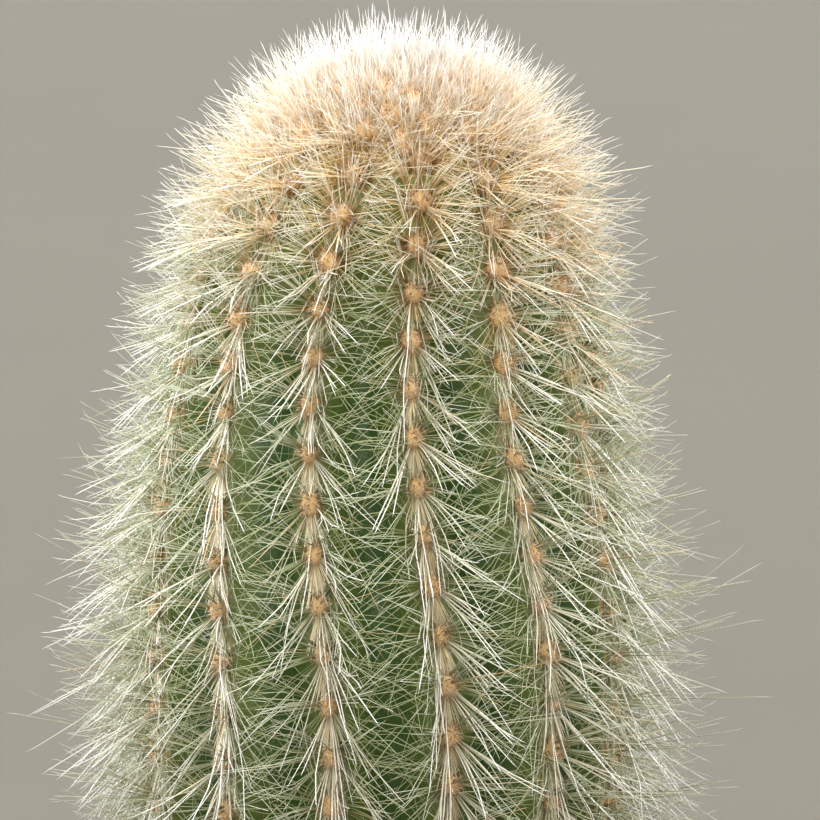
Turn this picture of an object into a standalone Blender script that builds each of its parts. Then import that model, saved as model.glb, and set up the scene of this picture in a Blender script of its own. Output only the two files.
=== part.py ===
"""A potted columnar cactus, in metres with +Z up and the pot's underside at z = 0.

The column is one grown piece: a ribbed stem with a felt pad and a star of needles at each areole.
A cap of wool and upright needles covers its growing tip. It stands in a hole in the soil of a clay pot.
"""

import math
import random

import bmesh
import bpy
from mathutils import Vector

# Pot, a plain clay one with a rim band and a drain hole
POT_HEIGHT = 0.095
RIM_RADIUS = 0.054
RIM_BAND_HEIGHT = 0.024
BODY_TOP_RADIUS = 0.049
FOOT_RADIUS = 0.0365
WALL = 0.004
RIM_WALL = 0.008
FLOOR = 0.006
DRAIN_RADIUS = 0.007
SOFT_EDGE = 0.0012
SEGMENTS = 40

# Soil, which fills the pot to a little under its rim
SOIL_TOP = 0.083
SOIL_MOUND = 0.0025
SOIL_SHARES = (0.0, 0.22, 0.45, 0.68, 0.88, 1.0)
GRIT = 0.0008
GAP = 0.0003
WALL_GAP = 0.00045

# Stem, a column of ribs with a domed tip
STEM_ABOVE_SOIL = 0.113
STEM_BURIED = 0.028
APEX = SOIL_TOP + STEM_ABOVE_SOIL
STEM_RADIUS = 0.025
RING_DROPS = (0.0006, 0.0022, 0.0045, 0.008, 0.013, 0.019, 0.027, 0.038, 0.052, 0.068, 0.084, 0.101, 0.115)
BURIED_SIDE = 0.020
BURIED_END_SHARE = 0.7
DOME_DROP = 0.026
DOME_POWER = 2.5
SHOULDER_SHARE = 0.745
SHOULDER_START = 0.005
SHOULDER_LENGTH = 0.055
BASE_SHARE = 0.90
BASE_LENGTH = 0.050
LEAN = 0.0020
LEAN_DROP = 0.045

# Ribs, which open below the cap, wander a little and flatten towards the soil
RIBS = 13
STEPS_PER_RIB = 4
FURROW_DEPTH = 0.0030
FURROW_AT_SOIL = 0.0010
FURROW_POWER = 0.8
FURROW_OPENING = 0.012
FURROW_CLOSING = 0.030
FURROW_END = 0.010
FRONT_RIB = math.radians(11.7)
SWAY = math.radians(4.5)
SWAY_LENGTH = 0.085
SWAY_CENTRE = 0.045

# Areoles, each one 5/13 of a turn round the stem from the one above it
TURN_RIBS = 5
FIRST_AREOLE = 0.0138
AREOLE_STEP = 0.0046
AREOLE_GROWTH = 0.000027
LOWEST_AREOLE = SOIL_TOP + 0.007
PAD_RADIUS = 0.0008
PAD_SUNK = 0.0022
PAD_HEIGHT = 0.0005
PAD_TOP = 0.0008

# Each needle of an areole: degrees from straight down the rib, degrees off the skin, length
NEEDLES = (
    (0.0, 42.0, 0.0125),
    (68.0, 34.0, 0.0100),
    (140.0, 38.0, 0.0085),
    (-140.0, 38.0, 0.0085),
    (-68.0, 34.0, 0.0100),
)
NEEDLE_JITTER = 7.0
LENGTH_JITTER = 0.15
ERECT_DROP = 0.034
ERECT_GAIN = 30.0
SOIL_CLEARANCE = 0.0045
BEND = 0.04

# Crown, the cap of wool at the growing tip, with tufts of upright needles
CAP_DROP = 0.0044
CAP_THICKNESS = 0.0024
CAP_LIP = 0.0005
CAP_GAP = 0.00035
CAP_SEGMENTS = 26
CAP_SHARES = (0.25, 0.5, 0.75, 1.0)
TUFTS = 42
TUFT_REACH = 0.95
TUFT_LEAN = 42.0
TUFT_SPREAD = 24.0
TUFT_NEEDLES = 5
TUFT_NEEDLE = 0.0090
TUFT_SUNK = 0.75
GOLDEN_TURN = math.pi * (3 - math.sqrt(5))

# A cone round the crown, which no needle of either piece crosses
PARTING_DROP = 0.0050
PARTING_RADIUS = 0.0118
PARTING_SLOPE = 0.9
PARTING_GAP = 0.0006

SHARP_ANGLE = math.radians(35)
UP = Vector((0.0, 0.0, 1.0))
SEED = 13


def ease(x):
    """0 below 0, 1 above 1, with an easy curve between."""
    x = min(max(x, 0.0), 1.0)
    return x * x * (3 - 2 * x)


def outward(angle):
    """The level direction at this angle round the stem, where 0 is the front, towards -Y."""
    return Vector((math.sin(angle), -math.cos(angle), 0.0))


def circle(radius, z):
    turns = [2 * math.pi * i / SEGMENTS for i in range(SEGMENTS)]
    return [Vector((radius * math.cos(turn), radius * math.sin(turn), z)) for turn in turns]


def loft(name, rings, ring_closed=False):
    """Skins rings of points, one after another. A ring of one point is a pole.
    ring_closed joins the last ring to the first."""
    bm = bmesh.new()
    rows = [[bm.verts.new(point) for point in ring] for ring in rings]
    pairs = list(zip(rows, rows[1:]))
    if ring_closed:
        pairs.append((rows[-1], rows[0]))
    for first, second in pairs:
        count = max(len(first), len(second))
        for i in range(count):
            j = (i + 1) % count
            if len(first) == 1:
                bm.faces.new((first[0], second[i], second[j]))
            elif len(second) == 1:
                bm.faces.new((first[j], first[i], second[0]))
            else:
                bm.faces.new((first[j], first[i], second[i], second[j]))
    return finished_mesh(name, bm)


def finished_mesh(name, bm):
    bmesh.ops.recalc_face_normals(bm, faces=bm.faces)
    mesh = bpy.data.meshes.new(name)
    bm.to_mesh(mesh)
    bm.free()
    return mesh


def material(name, colour, roughness):
    made = bpy.data.materials.new(name)
    made.use_nodes = True
    shader = made.node_tree.nodes["Principled BSDF"]
    shader.inputs["Base Color"].default_value = (*colour, 1.0)
    shader.inputs["Roughness"].default_value = roughness
    made.diffuse_color = (*colour, 1.0)
    return made


def add_object(name, mesh, finish, collection):
    made = bpy.data.objects.new(name, mesh)
    mesh.materials.append(finish)
    collection.objects.link(made)
    return made


def new_collection(name):
    made = bpy.data.collections.new(name)
    bpy.context.scene.collection.children.link(made)
    return made


def fuse(body, repeats):
    """Joins a collection of closed shapes to the body, then removes them."""
    union = body.modifiers.new("fuse", "BOOLEAN")
    union.operation = "UNION"
    union.operand_type = "COLLECTION"
    union.collection = repeats
    union.solver = "MANIFOLD"
    bpy.context.view_layer.update()
    graph = bpy.context.evaluated_depsgraph_get()
    joined = bpy.data.meshes.new_from_object(body.evaluated_get(graph))
    body.modifiers.clear()
    body.data = joined
    for each in list(repeats.objects):
        bpy.data.objects.remove(each)
    bpy.data.collections.remove(repeats)


def shade(piece):
    piece.data.shade_smooth()
    piece.data.set_sharp_from_angle(angle=SHARP_ANGLE)


def inner_radius(z):
    """Inner radius of the pot at height z, one straight taper from the floor to the rim."""
    bottom = FOOT_RADIUS - WALL
    return bottom + (RIM_RADIUS - RIM_WALL - bottom) * (z - FLOOR) / (POT_HEIGHT - FLOOR)


def make_pot(clay, collection):
    """A turned wall with a rim band, softened edges and a drain hole through the floor."""
    band = POT_HEIGHT - RIM_BAND_HEIGHT
    profile = (
        (DRAIN_RADIUS, FLOOR),
        (DRAIN_RADIUS, 0.0),
        (FOOT_RADIUS - SOFT_EDGE, 0.0),
        (FOOT_RADIUS, SOFT_EDGE),
        (BODY_TOP_RADIUS, band),
        (RIM_RADIUS - SOFT_EDGE, band),
        (RIM_RADIUS - SOFT_EDGE / 3, band + SOFT_EDGE),
        (RIM_RADIUS, POT_HEIGHT - SOFT_EDGE),
        (RIM_RADIUS - SOFT_EDGE, POT_HEIGHT),
        (inner_radius(POT_HEIGHT) + SOFT_EDGE, POT_HEIGHT),
        (inner_radius(POT_HEIGHT), POT_HEIGHT - SOFT_EDGE),
        (inner_radius(FLOOR), FLOOR),
    )
    rings = [circle(radius, z) for radius, z in profile]
    shade(add_object("pot", loft("pot", rings, ring_closed=True), clay, collection))


def make_soil(earth, collection, rng):
    """A filling that follows the pot's inside, with a gritty mounded top and a round hole for the stem."""
    hole = crest_radius(STEM_ABOVE_SOIL) + WALL_GAP
    outer = inner_radius(SOIL_TOP) - WALL_GAP
    hole_floor = SOIL_TOP - STEM_BURIED - GAP
    rings = [[UP * hole_floor], circle(hole, hole_floor)]
    for share in SOIL_SHARES:
        ring = circle(hole + (outer - hole) * share, SOIL_TOP + SOIL_MOUND * (1 - share) ** 2)
        if 0.0 < share < 1.0:
            for point in ring:
                point.z += rng.uniform(-GRIT, GRIT)
        rings.append(ring)
    rings.append(circle(inner_radius(FLOOR) - WALL_GAP, FLOOR + GAP))
    rings.append([UP * (FLOOR + GAP)])
    add_object("soil", loft("soil", rings), earth, collection)


def crest_radius(drop):
    """Radius over the ribs' crests, at this drop below the tip."""
    shoulder = SHOULDER_SHARE + (1 - SHOULDER_SHARE) * ease((drop - SHOULDER_START) / SHOULDER_LENGTH)
    dome = math.sqrt(1 - (1 - min(drop, DOME_DROP) / DOME_DROP) ** DOME_POWER)
    base = 1 - (1 - BASE_SHARE) * ease((drop - STEM_ABOVE_SOIL + BASE_LENGTH) / BASE_LENGTH)
    return STEM_RADIUS * shoulder * dome * base


def furrow_depth(drop):
    """Depth of the furrows under the crests, which is nothing under the cap and in the soil."""
    opening = ease((drop - CAP_DROP) / FURROW_OPENING)
    above = ease((STEM_ABOVE_SOIL - drop) / FURROW_CLOSING)
    below = ease((drop - STEM_ABOVE_SOIL) / FURROW_END)
    return (FURROW_AT_SOIL + (FURROW_DEPTH - FURROW_AT_SOIL) * above) * opening * (1 - below)


def axis_at(drop):
    """The middle of the stem at this drop. The tip leans a little to one side."""
    return Vector((LEAN * max(0.0, 1 - drop / LEAN_DROP) ** 2, 0.0, APEX - drop))


def rib_angle(drop, rib):
    """Angle round the stem of a rib, which wanders a little on its way down."""
    sway = SWAY * math.sin(2 * math.pi * (drop - SWAY_CENTRE) / SWAY_LENGTH)
    return FRONT_RIB + sway + 2 * math.pi * rib / RIBS


def stem_point(drop, rib):
    """A point of the skin. rib counts crests from the front one, so 0.5 is in the first furrow."""
    hollow = ((1 - math.cos(2 * math.pi * rib)) / 2) ** FURROW_POWER
    radius = crest_radius(drop) - furrow_depth(drop) * hollow
    return axis_at(drop) + outward(rib_angle(drop, rib)) * radius


def crest_frame(drop, rib, step=0.0004):
    """A crest's point, with its directions out of the skin, down the rib and across it."""
    down = (stem_point(drop + step, rib) - stem_point(drop - step, rib)).normalized()
    angle = rib_angle(drop, rib)
    normal = down.cross(outward(angle + math.pi / 2)).normalized()
    return stem_point(drop, rib), normal, down, normal.cross(down)


def drop_at(distance, step=0.0002):
    """The drop at which the crest has run this far from the tip."""
    drop = 0.0
    run = 0.0
    while run < distance:
        run += math.hypot(step, crest_radius(drop + step) - crest_radius(drop))
        drop += step
    return drop


def star(point, frame, needles, sunk):
    """A closed areole: a felt pad with its root sunk in the skin and a needle raised from each upper facet."""
    normal, down, across = frame
    count = len(needles)
    bm = bmesh.new()
    rim = []
    for i in range(count):
        turn = math.pi * (2 * i - 1) / count
        flat = down * math.cos(turn) + across * math.sin(turn)
        rim.append(bm.verts.new(point + normal * PAD_HEIGHT + flat * PAD_RADIUS))
    root = bm.verts.new(point - normal * sunk)
    top = bm.verts.new(point + normal * PAD_TOP)
    for i, needle in enumerate(needles):
        j = (i + 1) % count
        tip = bm.verts.new((rim[i].co + rim[j].co) / 2 + needle)
        bm.faces.new((root, rim[j], rim[i]))
        bm.faces.new((rim[i], rim[j], tip))
        bm.faces.new((rim[j], top, tip))
        bm.faces.new((top, rim[i], tip))
    return finished_mesh("star", bm)


def needle(frame, turn, rise, length, rng):
    """A needle as a vector, at this turn from straight down and this rise off the skin, both in degrees."""
    normal, down, across = frame
    around = math.radians(turn + rng.uniform(-NEEDLE_JITTER, NEEDLE_JITTER))
    up = math.radians(rise + rng.uniform(-NEEDLE_JITTER, NEEDLE_JITTER))
    flat = down * math.cos(around) + across * math.sin(around)
    reach = length * (1 + rng.uniform(-LENGTH_JITTER, LENGTH_JITTER))
    return (flat * math.cos(up) + normal * math.sin(up)) * reach


def above_soil(point, vector):
    """The needle, bent up where its tip would come too near the soil."""
    lowest = SOIL_TOP + SOIL_CLEARANCE - point.z
    if vector.z >= lowest:
        return vector
    level = Vector((vector.x, vector.y, 0.0)).normalized()
    return level * math.sqrt(vector.length_squared - lowest ** 2) + UP * lowest


def beyond_parting(point):
    """How far a point lies outside the cone that keeps the crown's needles apart from the stem's."""
    centre = axis_at(PARTING_DROP)
    radius = math.hypot(point.x - centre.x, point.y - centre.y)
    return radius - PARTING_RADIUS - PARTING_SLOPE * max(0.0, point.z - centre.z)


def kept_outside(point, vector):
    """The stem's needle, bent outwards until its tip is clear of the cone."""
    pull = Vector((point.x, point.y, 0.0)).normalized() * BEND
    while beyond_parting(point + vector) < PARTING_GAP:
        vector = (vector.normalized() + pull).normalized() * vector.length
    return vector


def kept_inside(point, vector):
    """The crown's needle, bent upwards until its tip is clear of the cone."""
    while beyond_parting(point + vector) > -PARTING_GAP:
        vector = (vector.normalized() + UP * BEND).normalized() * vector.length
    return vector


def stem_body():
    """The ribbed column as rings of points, from the tip to the blunt end in the soil."""
    count = RIBS * STEPS_PER_RIB
    drops = RING_DROPS + (STEM_ABOVE_SOIL + BURIED_SIDE,)
    rings = [[axis_at(0.0)]]
    for drop in drops:
        rings.append([stem_point(drop, i / STEPS_PER_RIB) for i in range(count)])
    end = axis_at(STEM_ABOVE_SOIL + STEM_BURIED)
    side_end = axis_at(drops[-1])
    rings.append([end + (point - side_end) * BURIED_END_SHARE for point in rings[-1]])
    rings.append([end])
    return loft("stem", rings)


def make_stem(skin, collection, rng):
    """The ribbed column with its areoles, which spiral down over the crests."""
    stem = add_object("stem", stem_body(), skin, collection)
    areoles = new_collection("areoles")
    index = 0
    drop = drop_at(FIRST_AREOLE)
    while APEX - drop > LOWEST_AREOLE:
        point, *frame = crest_frame(drop, index * TURN_RIBS % RIBS)
        erect = ERECT_GAIN * (1 - ease(drop / ERECT_DROP))
        needles = [needle(frame, turn, rise + erect, length, rng) for turn, rise, length in NEEDLES]
        needles = [kept_outside(point, above_soil(point, each)) for each in needles]
        add_object("areole", star(point, frame, needles, PAD_SUNK), skin, areoles)
        index += 1
        row = index / RIBS
        drop = drop_at(FIRST_AREOLE + AREOLE_STEP * row + AREOLE_GROWTH * row * row)
    fuse(stem, areoles)
    shade(stem)


def cap_thickness(share):
    """The wool's thickness at this share of the way from the cap's middle to its edge."""
    return CAP_LIP + (CAP_THICKNESS - CAP_LIP) * (1 - share * share)


def cap_point(share, angle, height, step=0.0001):
    """A point at this share of the way to the cap's edge, and this height off the stem's tip."""
    drop = CAP_DROP * share * share
    slope = (crest_radius(drop + step) - crest_radius(drop)) / step
    normal = (outward(angle) + UP * slope).normalized()
    return axis_at(drop) + outward(angle) * crest_radius(drop) + normal * height


def cap_body():
    """The cap as rings of points: its top from the middle to the lip, then its underside back."""
    angles = [2 * math.pi * i / CAP_SEGMENTS for i in range(CAP_SEGMENTS)]
    rings = [[axis_at(0.0) + UP * (CAP_GAP + CAP_THICKNESS)]]
    for share in CAP_SHARES:
        rings.append([cap_point(share, angle, CAP_GAP + cap_thickness(share)) for angle in angles])
    for share in reversed(CAP_SHARES):
        rings.append([cap_point(share, angle, CAP_GAP) for angle in angles])
    rings.append([axis_at(0.0) + UP * CAP_GAP])
    return loft("crown", rings)


def make_crown(wool, collection, rng):
    """The cap with its tufts in a golden spiral, upright in the middle and leaning out at the edge."""
    crown = add_object("crown", cap_body(), wool, collection)
    tufts = new_collection("tufts")
    for i in range(TUFTS):
        share = TUFT_REACH * math.sqrt((i + 0.5) / TUFTS)
        angle = i * GOLDEN_TURN
        lean = math.radians(TUFT_LEAN * share)
        thickness = cap_thickness(share)
        point = cap_point(share, angle, CAP_GAP + thickness)
        normal = outward(angle) * math.sin(lean) + UP * math.cos(lean)
        down = outward(angle) * math.cos(lean) - UP * math.sin(lean)
        frame = (normal, down, normal.cross(down))
        turns = [360 * k / TUFT_NEEDLES for k in range(TUFT_NEEDLES)]
        needles = [needle(frame, turn, 90 - TUFT_SPREAD, TUFT_NEEDLE, rng) for turn in turns]
        needles = [kept_inside(point, each) for each in needles]
        add_object("tuft", star(point, frame, needles, thickness * TUFT_SUNK), wool, tufts)
    fuse(crown, tufts)
    shade(crown)


def main():
    for each in list(bpy.data.objects):
        bpy.data.objects.remove(each)
    collection = bpy.context.scene.collection
    rng = random.Random(SEED)
    make_pot(material("clay", (0.52, 0.22, 0.11), 0.85), collection)
    make_soil(material("earth", (0.09, 0.06, 0.04), 0.95), collection, rng)
    make_stem(material("green skin", (0.13, 0.21, 0.07), 0.55), collection, rng)
    make_crown(material("cream wool", (0.80, 0.68, 0.50), 0.90), collection, rng)


main()
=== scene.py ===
import math

import bpy
import numpy as np
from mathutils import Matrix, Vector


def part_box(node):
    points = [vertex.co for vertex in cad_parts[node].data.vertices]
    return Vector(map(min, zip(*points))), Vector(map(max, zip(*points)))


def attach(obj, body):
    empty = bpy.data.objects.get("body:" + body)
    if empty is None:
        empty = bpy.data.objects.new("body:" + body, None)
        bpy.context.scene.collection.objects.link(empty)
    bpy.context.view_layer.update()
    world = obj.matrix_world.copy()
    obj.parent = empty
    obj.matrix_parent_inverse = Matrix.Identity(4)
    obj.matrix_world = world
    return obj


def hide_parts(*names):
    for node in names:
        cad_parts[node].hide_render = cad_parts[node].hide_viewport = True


# A potted columnar cactus: the fine skin, felt, wool and spines that dress its plain solids.

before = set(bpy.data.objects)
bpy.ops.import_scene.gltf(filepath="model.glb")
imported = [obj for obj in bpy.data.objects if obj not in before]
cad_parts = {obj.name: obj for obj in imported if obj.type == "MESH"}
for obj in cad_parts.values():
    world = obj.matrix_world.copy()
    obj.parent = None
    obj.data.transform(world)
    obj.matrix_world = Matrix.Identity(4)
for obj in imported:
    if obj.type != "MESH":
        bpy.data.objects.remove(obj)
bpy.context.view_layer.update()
print("frame loaded:", sorted(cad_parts))

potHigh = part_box("pot")[1]
twoPi = 2 * math.pi


# meshes from arrays

def addObject(name, data):
    added = bpy.data.objects.new(name, data)
    bpy.context.scene.collection.objects.link(added)
    return added


def putMesh(name, points, faceSets, material, values=None, smooth=True):
    # faceSets is a list of index arrays, one row a face; values are numbers kept at each point
    mesh = bpy.data.meshes.new(name)
    corners = np.concatenate([faces.ravel() for faces in faceSets]).astype(np.int32)
    sizes = np.concatenate([np.full(len(faces), faces.shape[1]) for faces in faceSets])
    starts = np.concatenate([[0], np.cumsum(sizes)[:-1]]).astype(np.int32)
    mesh.vertices.add(len(points))
    mesh.vertices.foreach_set("co", np.ascontiguousarray(points, np.float32).ravel())
    mesh.loops.add(len(corners))
    mesh.loops.foreach_set("vertex_index", corners)
    mesh.polygons.add(len(sizes))
    mesh.polygons.foreach_set("loop_start", starts)
    mesh.update(calc_edges=True)
    mesh.polygons.foreach_set("use_smooth", np.full(len(sizes), smooth))
    for key, numbers in (values or {}).items():
        layer = mesh.attributes.new(key, "FLOAT", "POINT")
        layer.data.foreach_set("value", np.ascontiguousarray(numbers, np.float32))
    mesh.materials.append(material)
    return addObject(name, mesh)


def hand(piece, node):
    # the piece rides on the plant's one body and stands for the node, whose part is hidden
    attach(piece, "root")
    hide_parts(node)
    triangles = sum(max(0, len(face.vertices) - 2) for face in piece.data.polygons)
    print(f"  {piece.name}: {triangles} triangles")


def ringFaces(rows, columns, closed=False):
    # quads between rows of points that run round an axis, each row one step further down or inward
    row = np.arange(rows if closed else rows - 1)[:, None]
    column = np.arange(columns)[None, :]
    after = (column + 1) % columns
    below = (row + 1) % rows
    quads = np.stack(np.broadcast_arrays(row * columns + column, below * columns + column,
                                         below * columns + after, row * columns + after), -1)
    return quads.reshape(-1, 4)


def closedRings(rings, topPole, bottomPole):
    # rings (rows, columns, 3) from top to bottom, closed by a fan to a pole at each end
    rows, columns = rings.shape[:2]
    points = np.concatenate([rings.reshape(-1, 3), [topPole, bottomPole]])
    here = np.arange(columns)
    after = (here + 1) % columns
    pole = np.full(columns, rows * columns)
    foot = (rows - 1) * columns
    fans = np.stack([pole, here, after], -1), np.stack([foot + here, pole + 1, foot + after], -1)
    return points, [ringFaces(rows, columns), *fans]


def circle(count):
    # the angles of even steps once round
    return twoPi * np.arange(count) / count


def around(radius, angle, height):
    # points at this radius and height round the axis, angle 0 in front
    return np.stack([radius * np.sin(angle), -radius * np.cos(angle), height + 0 * angle], -1)


def unit(vectors):
    return vectors / np.maximum(np.linalg.norm(vectors, axis=-1, keepdims=True), 1e-12)


def ease(x):
    x = np.clip(x, 0, 1)
    return x * x * (3 - 2 * x)


def between(x, start, end):
    # 0 on start's side, 1 on end's side, and a smooth run from the one to the other
    return ease((x - start) / (end - start))


def blend(pair, share):
    # from the pair's first number to its second
    return pair[0] + (pair[1] - pair[0]) * share


def ripples(points, waveLength, seed, count=20):
    # a sum of sine waves in random directions, mostly between -1 and 1
    rng = np.random.default_rng(seed)
    directions = unit(rng.normal(size=(count, 3)))
    turns = directions * (twoPi / waveLength * rng.uniform(0.6, 1.5, (count, 1)))
    return np.sin(points @ turns.T + rng.uniform(0, twoPi, count)).sum(-1) / math.sqrt(count) * 0.8


def hairs(name, material, roots, aims, lengths, bends, curls, widths, values, steps=3):
    # Three-sided hairs. The middle line is root + aim * length * t + bend * t * t + curl * t * t * t,
    # and the radius falls from half the width as (1 - t) to the power taper. The last ring stands just
    # short of the tip, so a hair keeps its width and ends in a short point.
    taper, lastRing = 0.3, 0.93
    aslant = np.array([0.31, 0.17, 0.57])   # keeps the side of any aim from coming out as nothing
    count = len(roots)
    side = unit(np.cross(aims, unit(np.roll(aims, 1, axis=1) + aslant)))
    other = np.cross(aims, side)
    t = np.linspace(0, lastRing, steps)
    middle = (roots[:, None] + aims[:, None] * (lengths[:, None] * t)[..., None]
              + bends[:, None] * (t * t)[:, None] + curls[:, None] * (t ** 3)[:, None])
    radius = np.broadcast_to(widths, count)[:, None] / 2 * (1 - t) ** taper
    turn = circle(3)
    spokes = side[:, None] * np.cos(turn)[:, None] + other[:, None] * np.sin(turn)[:, None]
    rings = middle[:, :, None] + spokes[:, None] * radius[:, :, None, None]
    tips = roots + aims * lengths[:, None] + bends + curls
    points = np.concatenate([rings.reshape(count, -1, 3), tips[:, None]], 1)
    each = steps * 3 + 1
    ring = np.arange(3)
    after = (ring + 1) % 3
    last = (steps - 1) * 3
    ends = np.concatenate([np.stack([last + ring, last + after, np.full(3, each - 1)], -1), [[2, 1, 0]]])
    offsets = np.arange(count)[:, None, None] * each
    faceSets = [(ends[None] + offsets).reshape(-1, 3)]
    if steps > 1:
        sides = np.concatenate([np.stack([k + ring, k + after, k + 3 + after, k + 3 + ring], -1)
                                for k in range(0, last, 3)])
        faceSets.append((sides[None] + offsets).reshape(-1, 4))
    along = np.concatenate([np.repeat(t, 3), [1.0]])
    kept = {key: np.repeat(numbers, each) for key, numbers in values.items()}
    kept["along"] = np.tile(along, count)
    return putMesh(name, points.reshape(-1, 3), faceSets, material, kept)


def scatter(name, material, shape, faces, centres, axes, values, roughness, rng):
    # one copy of a closed shape for each centre, along three axes that carry its sizes, a little uneven
    count = len(centres)
    uneven = 1 + roughness * rng.uniform(-1, 1, (count, len(shape), 1))
    points = centres[:, None] + np.einsum("kj,njc->nkc", shape, axes) * uneven
    kept = {key: np.repeat(numbers, len(shape)) for key, numbers in values.items()}
    offsets = np.arange(count)[:, None, None] * len(shape)
    sets = [(each[None] + offsets).reshape(-1, each.shape[1]) for each in faces]
    return putMesh(name, points.reshape(-1, 3), sets, material, kept)


def ballShape(rows, columns):
    # a unit ball as rings and two poles
    tilt = math.pi * np.arange(1, rows) / rows
    rings = around(np.sin(tilt)[:, None], circle(columns), np.cos(tilt)[:, None])
    return closedRings(rings, [0, 0, 1], [0, 0, -1])


# shader helpers, which all add to the node tree that is open

work = dict(tree=None)


def openTree(tree):
    work["tree"] = tree
    return tree


def wire(kind, inputs=None, **settings):
    # adds a shader node, sets its fields, and sets or links its inputs
    tree = work["tree"]
    node = tree.nodes.new("ShaderNode" + kind)
    for key, value in settings.items():
        setattr(node, key, value)
    for key, value in (inputs or {}).items():
        if isinstance(value, bpy.types.NodeSocket):
            tree.links.new(value, node.inputs[key])
        else:
            node.inputs[key].default_value = value
    return node


def math2(operation, a, b, clamp=False):
    return wire("Math", {0: a, 1: b}, operation=operation, use_clamp=clamp).outputs[0]


def times(a, b):
    return math2("MULTIPLY", a, b)


def mixed(share, a, b):
    return wire("Mix", {"Factor": share, 6: a, 7: b}, data_type="RGBA").outputs[2]


def span(value, low, high, toLow=0.0, toHigh=1.0):
    return wire("MapRange", {"Value": value, "From Min": low, "From Max": high,
                             "To Min": toLow, "To Max": toHigh}).outputs[0]


def attribute(name):
    return wire("Attribute", attribute_name=name).outputs["Fac"]


def place():
    return wire("TexCoord").outputs["Object"]


def noise(scale, detail, where=None):
    fields = {"Vector": where or place(), "Scale": scale, "Detail": detail}
    return wire("TexNoise", fields).outputs["Fac"]


def feed(shader, **sources):
    # links each source to the input of its name
    for key, source in sources.items():
        work["tree"].links.new(source, shader.inputs[key.replace("_", " ")])


def roughen(shader, height, strength, distance):
    bump = wire("Bump", {"Height": height, "Strength": strength, "Distance": distance})
    feed(shader, Normal=bump.outputs[0])


def rgb(red, green, blue):
    # a colour given as it looks on screen, 0 to 255, as the linear values that shaders take
    c = np.array([red, green, blue]) / 255
    return (*np.where(c <= 0.04045, c / 12.92, ((c + 0.055) / 1.055) ** 2.4), 1.0)


def newMaterial(name, **fixed):
    made = bpy.data.materials.new(name)
    made.use_nodes = True
    shader = openTree(made.node_tree).nodes["Principled BSDF"]
    for key, value in fixed.items():
        shader.inputs[key.replace("_", " ")].default_value = value
    return made, shader


noiseSpan = (0.36, 0.64)   # most of a noise lies between these


def makeMottle():
    # patches: broad noise and another six times finer, joined to one mask that varies over the surface
    group = openTree(bpy.data.node_groups.new("mottle", "ShaderNodeTree"))
    face = group.interface
    face.new_socket("Scale", in_out="INPUT", socket_type="NodeSocketFloat").default_value = 100.0
    face.new_socket("Fine", in_out="INPUT", socket_type="NodeSocketFloat").default_value = 0.4
    face.new_socket("Mask", in_out="OUTPUT", socket_type="NodeSocketFloat")
    start = group.nodes.new("NodeGroupInput")
    broad = noise(start.outputs["Scale"], 4.0)
    fine = noise(times(start.outputs["Scale"], 6.0), 3.0)
    share = wire("Mix", {"Factor": start.outputs["Fine"], 2: broad, 3: fine}, data_type="FLOAT").outputs[0]
    feed(group.nodes.new("NodeGroupOutput"), Mask=span(share, *noiseSpan))
    return group


def mottle(scale, fine):
    return wire("Group", {"Scale": scale, "Fine": fine}, node_tree=mottleGroup).outputs["Mask"]


mottleGroup = makeMottle()


# the stem's form, the same formulas as its solid

stem = dict(
    apex=0.196, aboveSoil=0.113, buried=0.028, radius=0.025, ribs=13,
    domeDrop=0.026, domePower=2.5, shoulderShare=0.745, shoulderStart=0.005, shoulderLength=0.055,
    baseShare=0.9, baseLength=0.05, lean=0.002, leanDrop=0.045,
    furrowDepth=0.003, furrowAtSoil=0.001, furrowPower=0.8,
    furrowOpening=0.012, furrowClosing=0.03, furrowEnd=0.01, capDrop=0.0044,
    frontRib=math.radians(11.7), sway=math.radians(4.5), swayLength=0.085, swayCentre=0.045,
    turnRibs=5, turnBack=8, firstAreole=0.0138, areoleStep=0.0046, areoleGrowth=0.000027, lowestAreole=0.007,
    areolesAbove=14, mostAreoles=600, tableStep=0.0001, tableEnd=0.16,
)
soilTop = stem["apex"] - stem["aboveSoil"]
up = np.array([0.0, 0.0, 1.0])


def crestRadius(drop):
    # radius over the crests: a dome, widening over the shoulder and narrowing a little to the soil
    s = stem
    widening = ease((drop - s["shoulderStart"]) / s["shoulderLength"])
    shoulder = s["shoulderShare"] + (1 - s["shoulderShare"]) * widening
    dome = np.sqrt(1 - (1 - np.minimum(drop, s["domeDrop"]) / s["domeDrop"]) ** s["domePower"])
    base = 1 - (1 - s["baseShare"]) * ease((drop - s["aboveSoil"] + s["baseLength"]) / s["baseLength"])
    return s["radius"] * shoulder * dome * base


def furrowDepth(drop):
    s = stem
    opening = ease((drop - s["capDrop"]) / s["furrowOpening"])
    above = ease((s["aboveSoil"] - drop) / s["furrowClosing"])
    below = ease((drop - s["aboveSoil"]) / s["furrowEnd"])
    return (s["furrowAtSoil"] + (s["furrowDepth"] - s["furrowAtSoil"]) * above) * opening * (1 - below)


def axisAt(drop):
    s = stem
    x = s["lean"] * np.maximum(0, 1 - drop / s["leanDrop"]) ** 2
    return np.stack([x, 0 * x, s["apex"] - drop], -1)


def outward(angle):
    return np.stack([np.sin(angle), -np.cos(angle), 0 * angle], -1)


def ribAngle(drop, rib):
    s = stem
    sway = s["sway"] * np.sin(twoPi * (drop - s["swayCentre"]) / s["swayLength"])
    return s["frontRib"] + sway + twoPi * rib / s["ribs"]


def hollowAt(rib):
    return ((1 - np.cos(twoPi * rib)) / 2) ** stem["furrowPower"]


def stemPoint(drop, rib, proud=0.0):
    radius = crestRadius(drop) - furrowDepth(drop) * hollowAt(rib) + proud
    return axisAt(drop) + outward(ribAngle(drop, rib)) * radius[..., None]


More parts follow.
